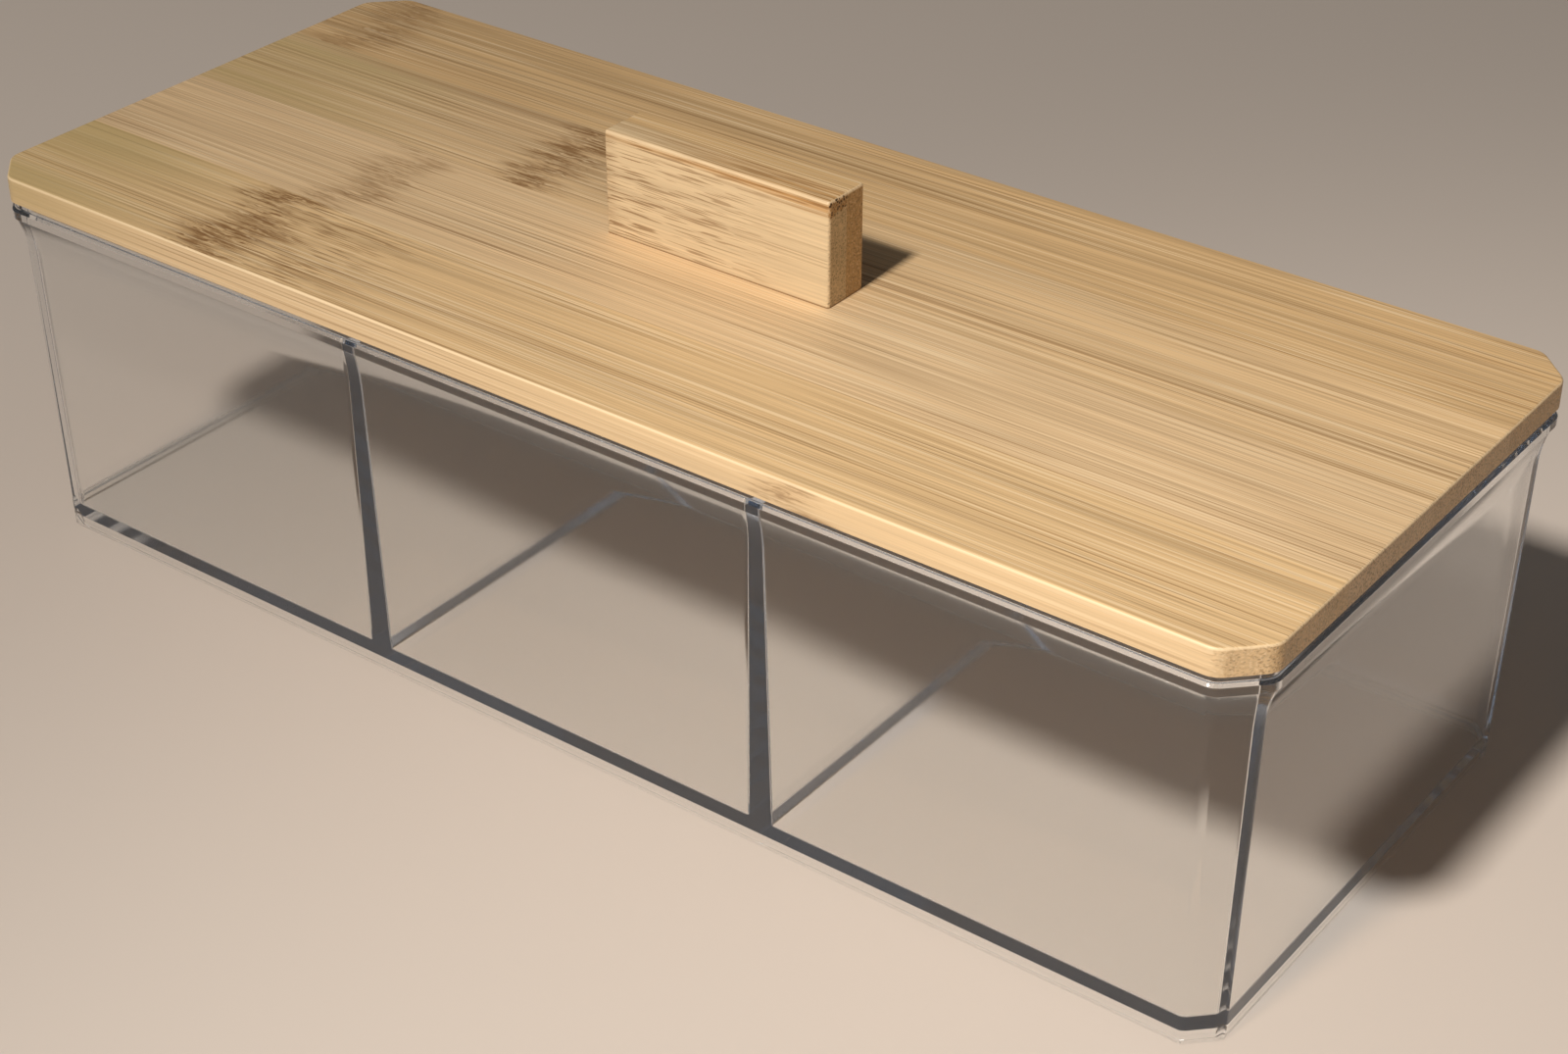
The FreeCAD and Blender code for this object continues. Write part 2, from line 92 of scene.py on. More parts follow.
half_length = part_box("box")[1].x
half_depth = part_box("box")[1].y
box_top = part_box("box")[1].z
divider_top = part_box("lid_inset")[0].z - DIVIDER_CLEARANCE
floor_top = FOOT_HEIGHT + FLOOR_THICKNESS
rim_reach = FLANGE_ROUND + FLANGE_SHELF + COVE_REACH
base_inset = rim_reach + box_top * SLOPE
seat_inset = rim_reach + WALL
divider_inset = seat_inset + (box_top - divider_top) * SLOPE
lid_corner = base_inset + BASE_ROUND + CORE_MARGIN
bay_reach = half_length - divider_inset
bay_length = (2 * bay_reach - (BAYS - 1) * DIVIDER_THICKNESS) / BAYS


# Moulding


def cove(start, end):
    """Points of the arc that leaves the wall's line at its start and ends under the flange."""
    along = Vector((-math.sin(math.atan(SLOPE)), math.cos(math.atan(SLOPE))))
    across = Vector((-along.y, along.x))
    span = Vector(end) - Vector(start)
    radius = span.length_squared / (2 * span.dot(across))
    sweep = 2 * math.atan2(span.dot(across), span.dot(along))
    points = []
    for step in range(COVE_STEPS + 1):
        turn = sweep * step / COVE_STEPS
        point = Vector(start) + along * radius * math.sin(turn) + across * radius * (1 - math.cos(turn))
        points.append(tuple(point))
    return points


def rounded(corners):
    """A profile through corners of (inset, height, radius), with an arc at each that has a radius."""
    points = []
    for index, (inset, height, radius) in enumerate(corners):
        here = Vector((inset, height))
        if radius == 0:
            points.append(tuple(here))
            continue
        before = (Vector(corners[index - 1][:2]) - here).normalized()
        after = (Vector(corners[index + 1][:2]) - here).normalized()
        half = before.angle(after) / 2
        centre = here + (before + after).normalized() * radius / math.sin(half)
        first = here + before * radius / math.tan(half) - centre
        last = here + after * radius / math.tan(half) - centre
        turn = first.angle_signed(last)
        for step in range(EDGE_STEPS + 1):
            arm = first.copy()
            arm.rotate(Matrix.Rotation(-turn * step / EDGE_STEPS, 2))
            points.append(tuple(centre + arm))
    return points


def wall_profile():
    """The wall's section from the floor's underside to the seat: (inset from the lid's outline, height)."""
    flange_top = box_top - LIP_HEIGHT
    flange_bottom = flange_top - FLANGE_HEIGHT
    flange_reach = FLANGE_ROUND + FLANGE_SHELF
    lip_inset = FLANGE_BEVEL + LIP_LEDGE
    cove_foot = flange_bottom - COVE_HEIGHT
    curve = cove((rim_reach + (box_top - cove_foot) * SLOPE, cove_foot), (flange_reach, flange_bottom))
    lower = [
        (base_inset + WALL, FOOT_HEIGHT, 0),
        (base_inset + WALL, 0, EDGE_ROUND),
        (base_inset, 0, BASE_ROUND),
        (curve[0][0], curve[0][1], 0),
    ]
    upper = [
        (curve[-1][0], curve[-1][1], 0),
        (0, flange_bottom, FLANGE_ROUND),
        (0, flange_top - FLANGE_BEVEL, EDGE_ROUND),
        (FLANGE_BEVEL, flange_top, EDGE_ROUND),
        (lip_inset, flange_top, EDGE_ROUND),
        (lip_inset, box_top - LIP_BEVEL, EDGE_ROUND),
        (lip_inset + LIP_BEVEL, box_top, EDGE_ROUND),
        (seat_inset, box_top, EDGE_ROUND),
        (divider_inset, divider_top, 0),
    ]
    return rounded(lower) + curve[1:-1] + rounded(upper)


def arc(centre, radius, start, turns, steps):
    """Points of an arc; its start and length are in quarter turns, anticlockwise from +X."""
    points = []
    for step in range(steps + 1):
        turn = (start + turns * step / steps) * math.pi / 2
        points.append((centre.x + radius * math.cos(turn), centre.y + radius * math.sin(turn)))
    return points


def corner(place, radius, cut, quarter):
    """One corner of an anticlockwise outline: round, or cut off at 45 degrees with both bends rounded."""
    ahead = Vector((-math.sin(quarter * math.pi / 2), math.cos(quarter * math.pi / 2)))
    aside = Vector((-ahead.y, ahead.x))
    if not cut:
        return arc(place - ahead * radius + aside * radius, radius, quarter, 1, DIVIDER_STEPS)
    setback = cut + radius * (math.sqrt(2) - 1)
    first = place - ahead * setback + aside * radius
    second = place + aside * setback - ahead * radius
    return arc(first, radius, quarter, 0.5, BEND_STEPS) + arc(second, radius, quarter + 0.5, 0.5, BEND_STEPS)


def cut_at(inset):
    """The corner cut of an outline drawn in from the lid's."""
    return CORNER_CUT - inset * (2 - math.sqrt(2))


def outline(left, right, depth, left_corner, right_corner):
    """An outline's corners: right back, left back, left front, right front.

    The corners at each end are given as (radius, cut).
    """
    return [
        corner(Vector((right, depth)), *right_corner, 0),
        corner(Vector((left, depth)), *left_corner, 1),
        corner(Vector((left, -depth)), *left_corner, 2),
        corner(Vector((right, -depth)), *right_corner, 3),
    ]


class Surface:
    """Vertices and faces of one mesh as they are added."""

    def __init__(self):
        self.points = []
        self.faces = []

    def add(self, flat, height):
        """Add flat points at a height and return their numbers."""
        first = len(self.points)
        self.points += [(x, y, height) for x, y in flat]
        return list(range(first, len(self.points)))

    def band(self, lower, upper):
        """Join two rings of equal count with four-sided faces."""
        count = len(lower)
        for index in range(count):
            following = (index + 1) % count
            self.faces.append((lower[index], lower[following], upper[following], upper[index]))

    def cap(self, ring):
        """Close a ring with one flat face."""
        self.faces.append(tuple(ring))

    def build(self, name):
        """Make the smooth object, its normals weighted so that flat faces stay flat."""
        mesh = bpy.data.meshes.new(name)
        mesh.from_pydata(self.points, [], self.faces)
        mesh.validate()
        mesh.shade_smooth()
        mesh.set_sharp_from_angle(angle=SHARP_ANGLE)
        piece = bpy.data.objects.new(name, mesh)
        bpy.context.scene.collection.objects.link(piece)
        even = piece.modifiers.new("even_normals", "WEIGHTED_NORMAL")
        even.keep_sharp = True
        even.weight = FLAT_FACE_WEIGHT
        return piece


def wall_rings(surface):
    """Add the wall and the floor's underside, and return the seat's ring."""
    near = bay_length / 2 + DIVIDER_EDGE - DIVIDER_CORNER
    far = bay_length / 2 + DIVIDER_THICKNESS - DIVIDER_EDGE + DIVIDER_CORNER
    stations = [-far, -near, near, far]
    rings = []
    for inset, height in wall_profile():
        length, depth = half_length - inset, half_depth - inset
        radius = lid_corner - inset if lid_corner - inset > LEAST_CORNER else INNER_CORNER
        kind = (radius, cut_at(inset))
        back_right, back_left, front_left, front_right = outline(-length, length, depth, kind, kind)
        back = [(x, depth) for x in reversed(stations)]
        front = [(x, -depth) for x in stations]
        rings.append(surface.add(back_right + back + back_left + front_left + front + front_right, height))
    surface.cap(reversed(rings[0]))
    for lower, upper in zip(rings, rings[1:]):
        surface.band(lower, upper)
    return rings[-1]


def bay_outline(number, inset, lean, shrink=0):
    """One compartment's corners, drawn in from its mouth.

    The dividers have thickened by lean on each side, and shrink takes from the corner radii.
    """
    near = bay_length / 2 - lean
    far = bay_length / 2 + DIVIDER_THICKNESS + lean
    outer = bay_reach - inset
    slack = (box_top - divider_top) * SLOPE
    outer_corner = (INNER_CORNER - slack - shrink, cut_at(divider_inset + inset))
    inner_corner = (DIVIDER_CORNER - shrink, 0)
    left, right, left_corner, right_corner = [
        (-outer, -far, outer_corner, inner_corner),
        (-near, near, inner_corner, inner_corner),
        (far, outer, inner_corner, outer_corner),
    ][number]
    return outline(left, right, half_depth - divider_inset - inset, left_corner, right_corner)


def bay_levels():
    """Heights of a compartment's rings below its mouth, with their inset, lean and shrink."""
    levels = []
    for step in range(1, EDGE_STEPS + 1):
        turn = math.pi / 2 * step / EDGE_STEPS
        drop = DIVIDER_EDGE * (1 - math.cos(turn))
        lean = drop * SLOPE - DIVIDER_EDGE * (1 - math.sin(turn))
        levels.append((divider_top - drop, drop * SLOPE, lean, 0))
    for step in range(EDGE_STEPS + 1):
        turn = math.pi / 2 * step / EDGE_STEPS
        height = floor_top + FLOOR_ROUND * (1 - math.sin(turn))
        shrink = FLOOR_ROUND * (1 - math.cos(turn))
        inset = (divider_top - height) * SLOPE + shrink
        levels.append((height, inset, inset, shrink))
    return levels


def bay_mouths(surface, seat):
    """The compartments' mouths: the seat's points along the wall, and new ones along the dividers."""
    bend = 2 * (BEND_STEPS + 1)
    stretches = []
    start = 0
    for count in (bend, STATIONS, bend, bend, STATIONS, bend):
        stretches.append(seat[start:start + count])
        start += count
    back_right, back, back_left, front_left, front, front_right = stretches
    left_mouth, middle_mouth, right_mouth = [bay_outline(number, 0, -DIVIDER_EDGE) for number in range(BAYS)]
    left = [surface.add(left_mouth[0][:-1], divider_top) + [back[3]],
            back_left,
            front_left,
            [front[0]] + surface.add(left_mouth[3][1:], divider_top)]
    middle = [surface.add(middle_mouth[0][:-1], divider_top) + [back[1]],
              [back[2]] + surface.add(middle_mouth[1][1:], divider_top),
              surface.add(middle_mouth[2][:-1], divider_top) + [front[1]],
              [front[2]] + surface.add(middle_mouth[3][1:], divider_top)]
    right = [back_right,
             [back[0]] + surface.add(right_mouth[1][1:], divider_top),
             surface.add(right_mouth[2][:-1], divider_top) + [front[3]],
             front_right]
    return left, middle, right


def make_moulding():
    """The clear box as one closed surface: wall, drafted compartments and the dividers' tops."""
    surface = Surface()
    mouths = bay_mouths(surface, wall_rings(surface))
    for west, east in zip(mouths, mouths[1:]):
        surface.cap(east[2][::-1] + east[1][::-1] + west[0][::-1] + west[3][::-1])
    for number, mouth in enumerate(mouths):
        upper = sum(mouth, [])
        for height, inset, lean, shrink in bay_levels():
            lower = surface.add(sum(bay_outline(number, inset, lean, shrink), []), height)
            surface.band(upper, lower)
            upper = lower
        surface.cap(upper)

    piece = surface.build("clear_moulding")
    piece.data.materials.append(clear_plastic())
    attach(piece, "box")
    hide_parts("box")


# Materials


class Shading:
    """One material's node tree, with short ways to add the nodes that the materials here share."""

    def __init__(self, name):
        self.material = bpy.data.materials.new(name)
        self.material.use_nodes = True
        self.tree = self.material.node_tree
        self.tree.nodes.clear()

    def put(self, socket, value):
        """Link a socket to another, or set its value."""
        if isinstance(value, bpy.types.NodeSocket):
            self.tree.links.new(value, socket)
        else:
            socket.default_value = value

    def node(self, kind, settings=None, **values):
        """Add a shader node with its settings and the values of its named sockets."""
        made = self.tree.nodes.new("ShaderNode" + kind)
        for name, value in (settings or {}).items():
            setattr(made, name, value)
        for name, value in values.items():
            self.put(made.inputs[name.replace("_", " ")], value)
        return made

    def maths(self, operation, *values):
        """The result of one operation on numbers."""
        made = self.node("Math", {"operation": operation})
        for socket, value in zip(made.inputs, values):
            self.put(socket, value)
        return made.outputs["Value"]

    def times(self, *values):
        """The product of several values."""
        product = values[0]
        for value in values[1:]:
            product = self.maths("MULTIPLY", product, value)
        return product

    def blend(self, share, first, second):
        """Mix two colours by a share. A mix node's colour sockets share their names, so they go by number."""
        made = self.node("Mix", {"data_type": "RGBA"})
        self.put(made.inputs[0], share)
        self.put(made.inputs[6], first)
        self.put(made.inputs[7], second)
        return made.outputs[2]

    def between(self, value, low, high, start=0.0, end=1.0):
        """Smoothly map a value's range low to high on to start to end."""
        made = self.node("MapRange", {"interpolation_type": "SMOOTHSTEP"}, Value=value)
        for socket, number in zip(made.inputs[1:5], (low, high, start, end)):
            self.put(socket, number)
        return made.outputs["Result"]

    def stretched(self, place, scale, offset=(0, 0, 0)):
        """Scale a place by a factor along each axis and move it."""
        made = self.node("VectorMath", {"operation": "MULTIPLY_ADD"})
        for socket, value in zip(made.inputs, (place, scale, offset)):
            self.put(socket, value)
        return made.outputs["Vector"]

    def place_in_piece(self):
        """The place on the piece in millimetres, and the node that it comes from."""
        coordinates = self.node("TexCoord")
        return self.stretched(coordinates.outputs["Object"], (1 / MM, 1 / MM, 1 / MM)), coordinates

    def finish(self, shader, inside=None):
        """Close the tree with a surface and, for a clear material, what fills it."""
        output = self.node("OutputMaterial", Surface=shader)
        if inside is not None:
            self.put(output.inputs["Volume"], inside)
        output.is_active_output = True
        return self.material


def linear(red, green, blue):
    """A colour given in display values from 0 to 255."""
    def channel(value):
        value /= 255
        return value / 12.92 if value <= 0.04045 else ((value + 0.055) / 1.055) ** 2.4
    return (channel(red), channel(green), channel(blue), 1.0)


def scaled(colour, factor):
    """A colour made darker or lighter."""
    return tuple(min(channel * factor, 1.0) for channel in colour[:3]) + (1.0,)


# The trace of roughness blurs what has been mirrored many times inside a wall; the depth's colour shows
# only where light runs along a wall
PLASTIC_FACE = (1.0, 0.995, 0.985, 1)
PLASTIC_ROUGHNESS = 0.06
PLASTIC_INDEX = 1.5
PLASTIC_SHADOW = (0.95, 0.955, 0.955, 1)
PLASTIC_DEPTH = (0.1, 0.5, 1.0, 1)
PLASTIC_DENSITY = 4.0


def clear_plastic():
    """Clear plastic, faintly blue in depth, that lets lamp light through to what stands behind it."""
    shading = Shading("clear_plastic")
    plastic = shading.node("BsdfPrincipled", Base_Color=PLASTIC_FACE, Roughness=PLASTIC_ROUGHNESS,
                           IOR=PLASTIC_INDEX, Transmission_Weight=1.0)
    passing = shading.node("BsdfTransparent", Color=PLASTIC_SHADOW)
    path = shading.node("LightPath")
    lamp = shading.maths("MAXIMUM", path.outputs["Is Shadow Ray"], path.outputs["Is Diffuse Ray"])
    mixed = shading.node("MixShader")
    for socket, value in zip(mixed.inputs, (lamp, plastic.outputs[0], passing.outputs[0])):
        shading.put(socket, value)
    depth = shading.node("VolumeAbsorption", Color=PLASTIC_DEPTH, Density=PLASTIC_DENSITY)
    return shading.finish(mixed.outputs[0], depth.outputs[0])


PALE = linear(241, 213, 172)
BROWN = linear(128, 88, 46)
OLIVE = linear(184, 160, 108)
AMBER = linear(188, 132, 62)
PORE = linear(70, 44, 22)

# Patterns in the wood: length along the grain, width across it, a number that sets them apart, detail,
# and the noise from which a mark starts to show and at which it is full
Pattern = namedtuple("Pattern", "length width salt detail start full", defaults=(0, 1))
BROAD_BANDS = Pattern(220, 7, 0, 2, 0.35, 0.65)
BANDS = Pattern(140, 1.2, 11, 2)
FIBRES = Pattern(60, 0.42, 17, 1)
PATCHES = Pattern(90, 9, 31, 2, 0.40, 0.60)
DARK_LINES = Pattern(100, 0.40, 23, 0, 0.60, 0.68)
LIGHT_LINES = Pattern(70, 0.36, 41, 0, 0.60, 0.70)
DASHES = Pattern(7, 0.30, 29, 0, 0.57, 0.68)
KNOT_SWAY = Pattern(80, 5, 3, 2)
KNOT_FRAY = Pattern(30, 0.7, 4, 2)
KNOT_BEND = Pattern(5, 2, 5, 2)
KNOT_FLAMES = Pattern(7, 0.5, 37, 3, 0.36, 0.62)
SKIN_STREAKS = Pattern(9, 0.3, 47, 0, 0.45, 0.60)
PATTERN_ROUGHNESS = 0.55

# How squarely a face looks along X to count as end grain and along Y as a side, and the least and full
# turn of a rounded edge
END_FACING = (0.45, 0.85)
SIDE_FACING = (0.4, 0.9)
EDGE_TURN = (0.05, 0.2)

# The grain: shares of broad bands, bands and fibres, the sums at which it is darkest and lightest, and
# these two as factors of a strip's tone
GRAIN_SHARES = (0.3, 0.22, 0.48)
GRAIN_RANGE = (0.34, 0.66)
DARK_GRAIN, LIGHT_GRAIN = 0.80, 1.17

# Strengths of what is laid over the grain, as one number or as its least and most
# Painted light: how much paler the faces along Y are painted
PAINTED_SIDE_LIGHT = 0.4
# How much paler the rounded edges are painted: a painted highlight
EDGE_HIGHLIGHT_PALENESS = 0.6
PATCH_STRENGTH = (0.25, 1)
LIGHT_LINE_STRENGTH = (0, 0.5)
OLIVE_STRENGTH = (0.25, 0.70)
FLAME_STRENGTH = (0.15, 0.9)

# Knots: their core and rim as shares of the half width, and how far they sway, fray and push fibres aside
KNOT_CORE, KNOT_RIM = 0.1, 1.3
SWAY_REACH, FRAY_REACH, BEND_REACH = 24, 20, 1.6

# How gently flecks and the olive end fade in and out along the grain
FLECK_START, FLECK_END, OLIVE_FADE = 5, 12, 25

# The handle's skin: its depth below the top at two places along X, how its lower edge waves and fades,
# its strength, weaker at the left and on light fibres, its streaks, and the depths of its wide pores
SKIN_PLACES = (-20, 24)
SKIN_DEPTHS = (1.7, 2.8)
SKIN_WAVES = 3.0
SKIN_FADE = (-0.2, 0.3)
SKIN_STRENGTH = 0.75
SKIN_GROWTH = (-24, 16, 0.4, 1)
SKIN_FIBRES = (0.35, 0.6, 1, 0.5)
STREAK_STRENGTH = (0, 0.8)
WIDE_PORE_DEPTHS = (3.4, 2.4)

# The dark line at a piece's foot: a glue line, and painted contact shade where the piece stands
GLUE_AND_SHADE_LOW, GLUE_AND_SHADE_HIGH, GLUE_AND_SHADE_STRENGTH = 0.1, 0.4, 0.8

# End grain: pores for each millimetre along the three axes, the inner and outer rim of small and wide
# ones with their strengths there, and how far the ground turns amber
PORE_SPREAD = (0.02, 1.7, 1.7)
SMALL_PORE = (0.12, 0.40, 0.45, 0)
WIDE_PORE = (0.30, 0.50, 1, 0)
END_AMBER = 0.08

# The wood's polish: duller on light fibres than on dark ones
WOOD_INDEX = 1.45
WOOD_ROUGHNESS = (0.3, 0.7, 0.40, 0.52)
FIBRE_RELIEF = 0.04 * MM
FIBRE_STRENGTH = 0.2


class Bamboo(Shading):
    """Bamboo with its fibres along X; each step lays marks over the colour so far."""

    def __init__(self, name, seed, upright):
        super().__init__(name)
        self.seed = seed
        self.place, coordinates = self.place_in_piece()
        split = self.node("SeparateXYZ", Vector=self.place)
        self.x, self.height = split.outputs["X"], split.outputs["Z"]
        normal = self.node("SeparateXYZ", Vector=coordinates.outputs["Normal"])
        facing = [self.maths("ABSOLUTE", normal.outputs[axis]) for axis in "XYZ"]
        self.end = self.between(facing[0], *END_FACING)
        self.side = self.between(facing[1], *SIDE_FACING)
        # Neither level nor upright: the rounded edges, painted paler as a painted highlight
        turned = self.times(facing[2], self.maths("SUBTRACT", 1, facing[2]))
        self.edge_highlight = self.between(turned, *EDGE_TURN, 0, EDGE_HIGHLIGHT_PALENESS)
        self.marked = self.side if upright else self.maths("SUBTRACT", 1, self.side)

    def pattern(self, kind):
        """Noise from 0 to 1 in the pattern's sizes."""
        start = self.seed + kind.salt
        scale = (1 / kind.length, 1 / kind.width, 1 / kind.width)
        place = self.stretched(self.place, scale, (start, 1.7 * start, 2.3 * start))
        made = self.node("TexNoise", Vector=place, Scale=1.0, Detail=kind.detail, Roughness=PATTERN_ROUGHNESS)
        return made.outputs["Fac"]

    def marks(self, kind, least=0.0, most=1.0):
        """The marks that a pattern makes, from their least to their most strength."""
        return self.between(self.pattern(kind), kind.start, kind.full, least, most)

    def swing(self, kind, reach):
        """A pattern that swings about zero."""
        return self.times(self.maths("SUBTRACT", self.pattern(kind), 0.5), reach)

    def paint(self, share, colour):
        """Lay a colour over the wood by a share."""
        self.colour = self.blend(share, self.colour, colour)

    def find_knots(self, knots, edge_knots, wander):
        """Work out where knots show, and bend the fibres there a little."""
        stray = self.maths("ADD", self.swing(KNOT_SWAY, SWAY_REACH * wander),
                           self.swing(KNOT_FRAY, FRAY_REACH * wander))
        along = self.maths("ADD", self.x, stray)
        self.knot = 0.0
        for marks, face in ((knots, self.marked), (edge_knots, self.side)):
            for centre, reach, strength in marks:
                away = self.maths("ABSOLUTE", self.maths("SUBTRACT", along, centre))
                band = self.between(away, KNOT_CORE * reach, KNOT_RIM * reach, strength, 0)
                self.knot = self.maths("MAXIMUM", self.knot, self.times(band, face))
        bend = self.times(self.swing(KNOT_BEND, BEND_REACH), self.knot)
        shift = self.node("CombineXYZ", Y=bend, Z=bend)
        self.place = self.stretched(shift.outputs[0], (1, 1, 1), self.place)

    def lay_grain(self, tone, lines):
        """Soft bands and fibres, then dark and light lines, the dark ones in patches."""
        self.bands, self.fibres = self.pattern(BANDS), self.pattern(FIBRES)
        layers = (self.pattern(BROAD_BANDS), self.bands, self.fibres)
        broad, bands, fibres = [self.times(layer, share) for layer, share in zip(layers, GRAIN_SHARES)]
        grain = self.maths("ADD", self.maths("ADD", broad, bands), fibres)
        self.colour = self.blend(self.between(grain, *GRAIN_RANGE), scaled(tone, DARK_GRAIN),
                                 scaled(tone, LIGHT_GRAIN))
        # Painted light: the faces along Y painted paler
        self.paint(self.times(self.side, PAINTED_SIDE_LIGHT), PALE)
        self.paint(self.times(self.marks(DARK_LINES), self.marks(PATCHES, *PATCH_STRENGTH), lines), BROWN)
        self.paint(self.marks(LIGHT_LINES, *LIGHT_LINE_STRENGTH), PALE)

    def lay_flecks(self, flecks):
        """Short brown dashes along some stretches."""
        dash = self.marks(DASHES)
        for start, stop, strength in flecks:
            coming = self.between(self.x, start - FLECK_START, start + FLECK_START)
            going = self.between(self.x, stop - FLECK_END, stop + FLECK_END, 1, 0)
            self.paint(self.times(dash, self.times(coming, going), self.marked, strength), BROWN)

    def lay_olive(self, place):
        """A greener left end."""
        left = self.between(self.x, place - OLIVE_FADE, place + OLIVE_FADE, 1, 0)
        self.paint(self.times(left, self.marks(BROAD_BANDS, *OLIVE_STRENGTH)), OLIVE)

    def lay_knots(self):
        """Brown flames at the knots."""
        self.paint(self.times(self.knot, self.marks(KNOT_FLAMES, *FLAME_STRENGTH)), BROWN)

    def lay_skin(self, top):
        """The culm's brown skin along a handle's top."""
        edge = self.between(self.x, *SKIN_PLACES, *[top - depth for depth in SKIN_DEPTHS])
        waves = self.times(self.maths("SUBTRACT", self.bands, 0.5), SKIN_WAVES)
        above = self.maths("SUBTRACT", self.height, self.maths("ADD", edge, waves))
        skin = self.times(self.between(above, *SKIN_FADE, 0, SKIN_STRENGTH),
                          self.between(self.x, *SKIN_GROWTH),
                          self.between(self.fibres, *SKIN_FIBRES))
        self.paint(skin, AMBER)
        self.paint(self.times(skin, self.marks(SKIN_STREAKS, *STREAK_STRENGTH)), BROWN)

    def lay_pores(self, skin_top):
        """Cut across, the fibres show as dark pores, wider towards the culm's skin."""
        offset = (self.seed, self.seed, self.seed)
        cell = self.node("TexVoronoi", {"feature": "F1"}, Scale=1.0,
                         Vector=self.stretched(self.place, PORE_SPREAD, offset))
        pore = self.between(cell.outputs["Distance"], *SMALL_PORE)
        if skin_top is not None:
            skin = self.between(self.height, *[skin_top - depth for depth in WIDE_PORE_DEPTHS])
            wide = self.between(cell.outputs["Distance"], *WIDE_PORE)
            pore = self.maths("MAXIMUM", pore, self.times(skin, wide))
        self.paint(self.times(self.end, END_AMBER), AMBER)
        self.paint(self.times(self.end, pore), PORE)

    def polish(self):
        """Close the material, its light fibres slightly raised."""
        bump = self.node("Bump", Strength=FIBRE_STRENGTH, Distance=FIBRE_RELIEF, Height=self.fibres)
        rough = self.between(self.fibres, *WOOD_ROUGHNESS)
        wood = self.node("BsdfPrincipled", Base_Color=self.colour, Roughness=rough, IOR=WOOD_INDEX,
                         Normal=bump.outputs[0])
        return self.finish(wood.outputs[0])


def bamboo(name, seed, tone, knots=(), flecks=(), lines=0.4, olive=None, edge_knots=(), wander=1.0,
           upright=False, skin_top=None, foot=None):
    """One piece's cut of bamboo.

    Along X in millimetres, knots are (place, half width, strength) and flecks (start, end, strength),
    both on the level faces, or on the upright ones of an upright piece. Edge knots come with knots and
    show on upright faces alone, lines is the dark lines' strength, olive is where a greener end fades
    out, and wander is how far the knots stray from a straight line. Skin top is the height of a handle's
    top with the culm's skin, and foot the height that the piece stands on, where a dark line is painted
    as glue and as painted contact shade.
    """
    wood = Bamboo(name, seed, upright)
    if knots:
        wood.find_knots(knots, edge_knots, wander)
    wood.lay_grain(tone, lines)
    if flecks:
        wood.lay_flecks(flecks)
    if olive is not None:
        wood.lay_olive(olive)
    if knots:
        wood.lay_knots()
    if skin_top is not None:
        wood.lay_skin(skin_top)
    if foot is not None:
        # A dark line at the foot: glue, and painted contact shade
        wood.paint(wood.between(wood.height, foot + GLUE_AND_SHADE_LOW, foot + GLUE_AND_SHADE_HIGH, GLUE_AND_SHADE_STRENGTH, 0), BROWN)
    # Painted highlight: the rounded edges painted paler
    wood.paint(wood.edge_highlight, PALE)
    wood.lay_pores(skin_top)
    return wood.polish()


ZINC_DARK = linear(178, 180, 182)
ZINC_LIGHT = linear(206, 207, 205)
ZINC_ROUGHNESS = (0.3, 0.7, 0.22, 0.42)
TURNING_SPREAD = (0.4, 0.4, 9)
BLOTCH_SPREAD = 0.8


def zinc_steel():
    """Turned, zinc-plated steel with fine rings and faint blotches."""
    shading = Shading("zinc_steel")
    place = shading.place_in_piece()[0]
    rings = shading.node("TexNoise", Vector=shading.stretched(place, TURNING_SPREAD), Scale=1.0, Detail=2.0)
    blotch = shading.node("TexNoise", Vector=place, Scale=BLOTCH_SPREAD, Detail=3.0)
    colour = shading.blend(blotch.outputs["Fac"], ZINC_DARK, ZINC_LIGHT)
    rough = shading.between(rings.outputs["Fac"], *ZINC_ROUGHNESS)
    steel = shading.node("BsdfPrincipled", Base_Color=colour, Metallic=1.0, Roughness=rough)
    return shading.finish(steel.outputs[0])


def dress_lid():
    """Give each wooden piece its own cut of bamboo, and the screws their plating."""
    lid_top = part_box("lid_strip_1")[1].z / MM
    handle_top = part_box("handle_front_ply")[1].z / MM
    coats = {
        "lid_strip_1": bamboo("bamboo_strip_1", 4, linear(213, 178, 131), [(-80, 9, 1.0)], [(-76, -48, 0.6)],
                              lines=0.5, olive=-102, edge_knots=[(52, 6, 0.7)]),
        "lid_strip_2": bamboo("bamboo_strip_2", 19, linear(213, 180, 138), [(-72, 7, 0.6)], lines=0.55),
        "lid_strip_3": bamboo("bamboo_strip_3", 37, linear(208, 174, 130), [(-50, 8, 0.95)],
                              lines=0.5, olive=-95),
        "lid_strip_4": bamboo("bamboo_strip_4", 53, linear(203, 167, 120), [(-121, 8, 0.6)], lines=0.5),
        "lid_inset": bamboo("bamboo_inset", 71, linear(206, 171, 126)),
        "handle_front_ply": bamboo("bamboo_front_ply", 83, linear(211, 187, 149), [(-25, 3, 0.4)],
                                   [(-30, -8, 0.7), (-8, 10, 0.5)], lines=0.3, wander=0.2, upright=True,
                                   skin_top=handle_top, foot=lid_top),
        "handle_rear_ply": bamboo("bamboo_rear_ply", 97, linear(200, 164, 116), foot=lid_top),
        "handle_screws": zinc_steel(),
    }
    for name, coat in coats.items():
        mesh = nodes[name].data
        mesh.materials.clear()
        mesh.materials.append(coat)


make_moulding()
dress_lid()


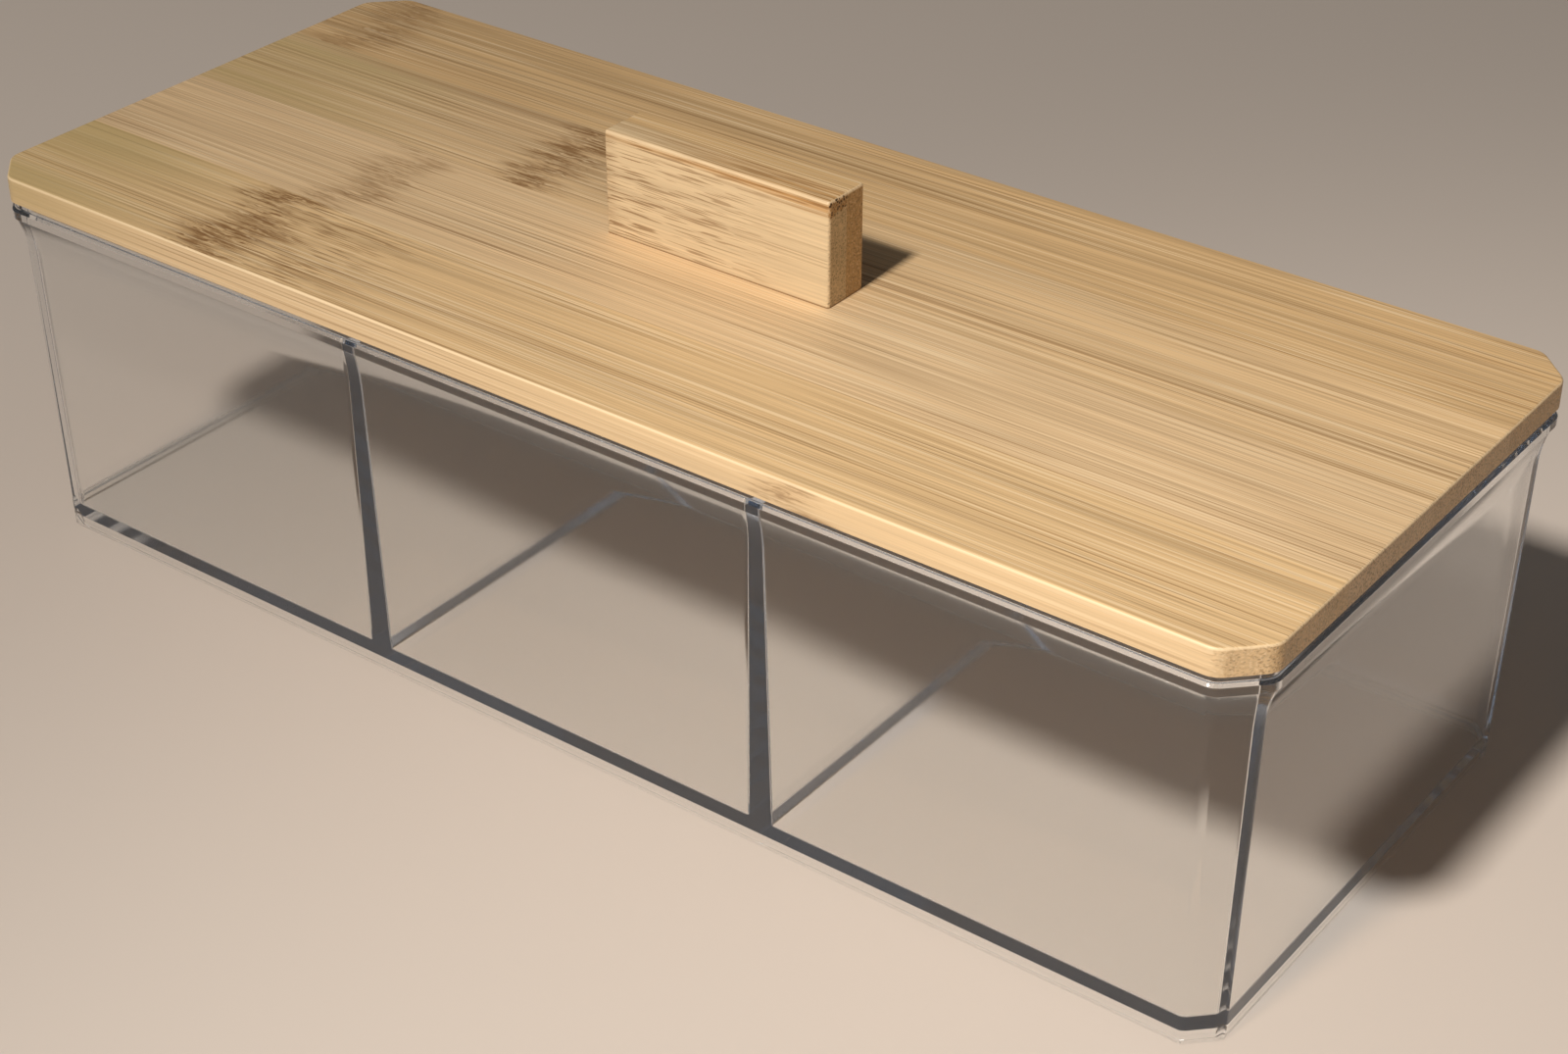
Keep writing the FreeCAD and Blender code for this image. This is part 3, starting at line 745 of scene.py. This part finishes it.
# Stage
FLOOR_COLOUR = linear(208, 194, 182)
FLOOR_ROUGHNESS = 0.7
FLOOR_REACH = 3.0
KEY_PLACE = Vector((0.02, -0.88, 1.15))
KEY_RADIUS = 0.07
KEY_COLOUR = (1.0, 0.965, 0.91)
KEY_AIM = Vector((0, 0, 0.05))
KEY_WATTS = 14.5
POOL_AIM = Vector((0.2, -0.1, 0.05))
POOL_WATTS = 42
POOL_ANGLE = math.radians(28)
# The room is lighter in front of the box than behind it; it falls off between two directions, given by Y
ROOM_COLOUR = (0.97, 0.99, 1.0, 1)
ROOM_FRONT = 0.20
ROOM_BACK = 0.055
ROOM_FALL = (-1, 0.6)
# The photograph's camera, as the edges in it show
CAMERA_PLACE = Vector((0.282052, -0.359933, 0.308851))
CAMERA_AZIMUTH = math.radians(36.955)
CAMERA_ELEVATION = math.radians(32.149)
CAMERA_SENSOR = 36.0
CAMERA_LENS = 66.716
# Light is passed along inside the walls and dividers many times before it leaves them
BOUNCES = 48


def make_floor():
    """A plain pale floor."""
    shading = Shading("floor")
    paint = shading.node("BsdfPrincipled", Base_Color=FLOOR_COLOUR, Roughness=FLOOR_ROUGHNESS)
    corners = [(-1, -1), (1, -1), (1, 1), (-1, 1)]
    mesh = bpy.data.meshes.new("floor")
    mesh.from_pydata([(x * FLOOR_REACH, y * FLOOR_REACH, 0) for x, y in corners], [], [(0, 1, 2, 3)])
    floor = bpy.data.objects.new("floor", mesh)
    bpy.context.scene.collection.objects.link(floor)
    mesh.materials.append(shading.finish(paint.outputs[0]))


def make_lamp(name, kind, aim, watts):
    """Add a lamp at the key light's place, turned to what it lights."""
    data = bpy.data.lights.new(name, kind)
    data.energy = watts
    data.color = KEY_COLOUR
    lamp = bpy.data.objects.new(name, data)
    lamp.location = KEY_PLACE
    lamp.rotation_mode = "QUATERNION"
    lamp.rotation_quaternion = (aim - KEY_PLACE).to_track_quat("-Z", "Y")
    bpy.context.scene.collection.objects.link(lamp)
    return data


def make_light():
    """One key light from the front with a soft pool at the right, and a dim room."""
    wide = make_lamp("key", "AREA", KEY_AIM, KEY_WATTS)
    wide.shape = "DISK"
    wide.size = 2 * KEY_RADIUS
    pool = make_lamp("pool", "SPOT", POOL_AIM, POOL_WATTS)
    pool.shadow_soft_size = KEY_RADIUS
    pool.spot_size = POOL_ANGLE
    pool.spot_blend = 1.0
    world = bpy.data.worlds.new("studio")
    world.use_nodes = True
    tree = world.node_tree
    coordinates = tree.nodes.new("ShaderNodeTexCoord")
    split = tree.nodes.new("ShaderNodeSeparateXYZ")
    fall = tree.nodes.new("ShaderNodeMapRange")
    for socket, value in zip(fall.inputs[1:5], (*ROOM_FALL, ROOM_FRONT, ROOM_BACK)):
        socket.default_value = value
    tree.links.new(coordinates.outputs["Generated"], split.inputs[0])
    tree.links.new(split.outputs["Y"], fall.inputs["Value"])
    tree.links.new(fall.outputs["Result"], tree.nodes["Background"].inputs["Strength"])
    tree.nodes["Background"].inputs["Color"].default_value = ROOM_COLOUR
    bpy.context.scene.world = world


def make_camera():
    """The photograph's camera: turned about Z, tipped down and set back."""
    level = math.cos(CAMERA_ELEVATION)
    back = Vector((math.sin(CAMERA_AZIMUTH) * level, -math.cos(CAMERA_AZIMUTH) * level,
                   math.sin(CAMERA_ELEVATION)))
    right = Vector((math.cos(CAMERA_AZIMUTH), math.sin(CAMERA_AZIMUTH), 0))
    up = back.cross(right)
    data = bpy.data.cameras.new("camera")
    data.sensor_width = CAMERA_SENSOR
    data.lens = CAMERA_LENS
    camera = bpy.data.objects.new("camera", data)
    camera.matrix_world = Matrix.LocRotScale(CAMERA_PLACE, Matrix((right, up, back)).transposed(), None)
    bpy.context.scene.collection.objects.link(camera)
    bpy.context.scene.camera = camera


make_floor()
make_light()
make_camera()

scene = bpy.context.scene
scene.view_settings.view_transform = "Standard"
scene.cycles.caustics_reflective = False
scene.cycles.caustics_refractive = False
scene.cycles.max_bounces = BOUNCES
scene.cycles.glossy_bounces = BOUNCES
scene.cycles.transmission_bounces = BOUNCES
scene.cycles.transparent_max_bounces = BOUNCES
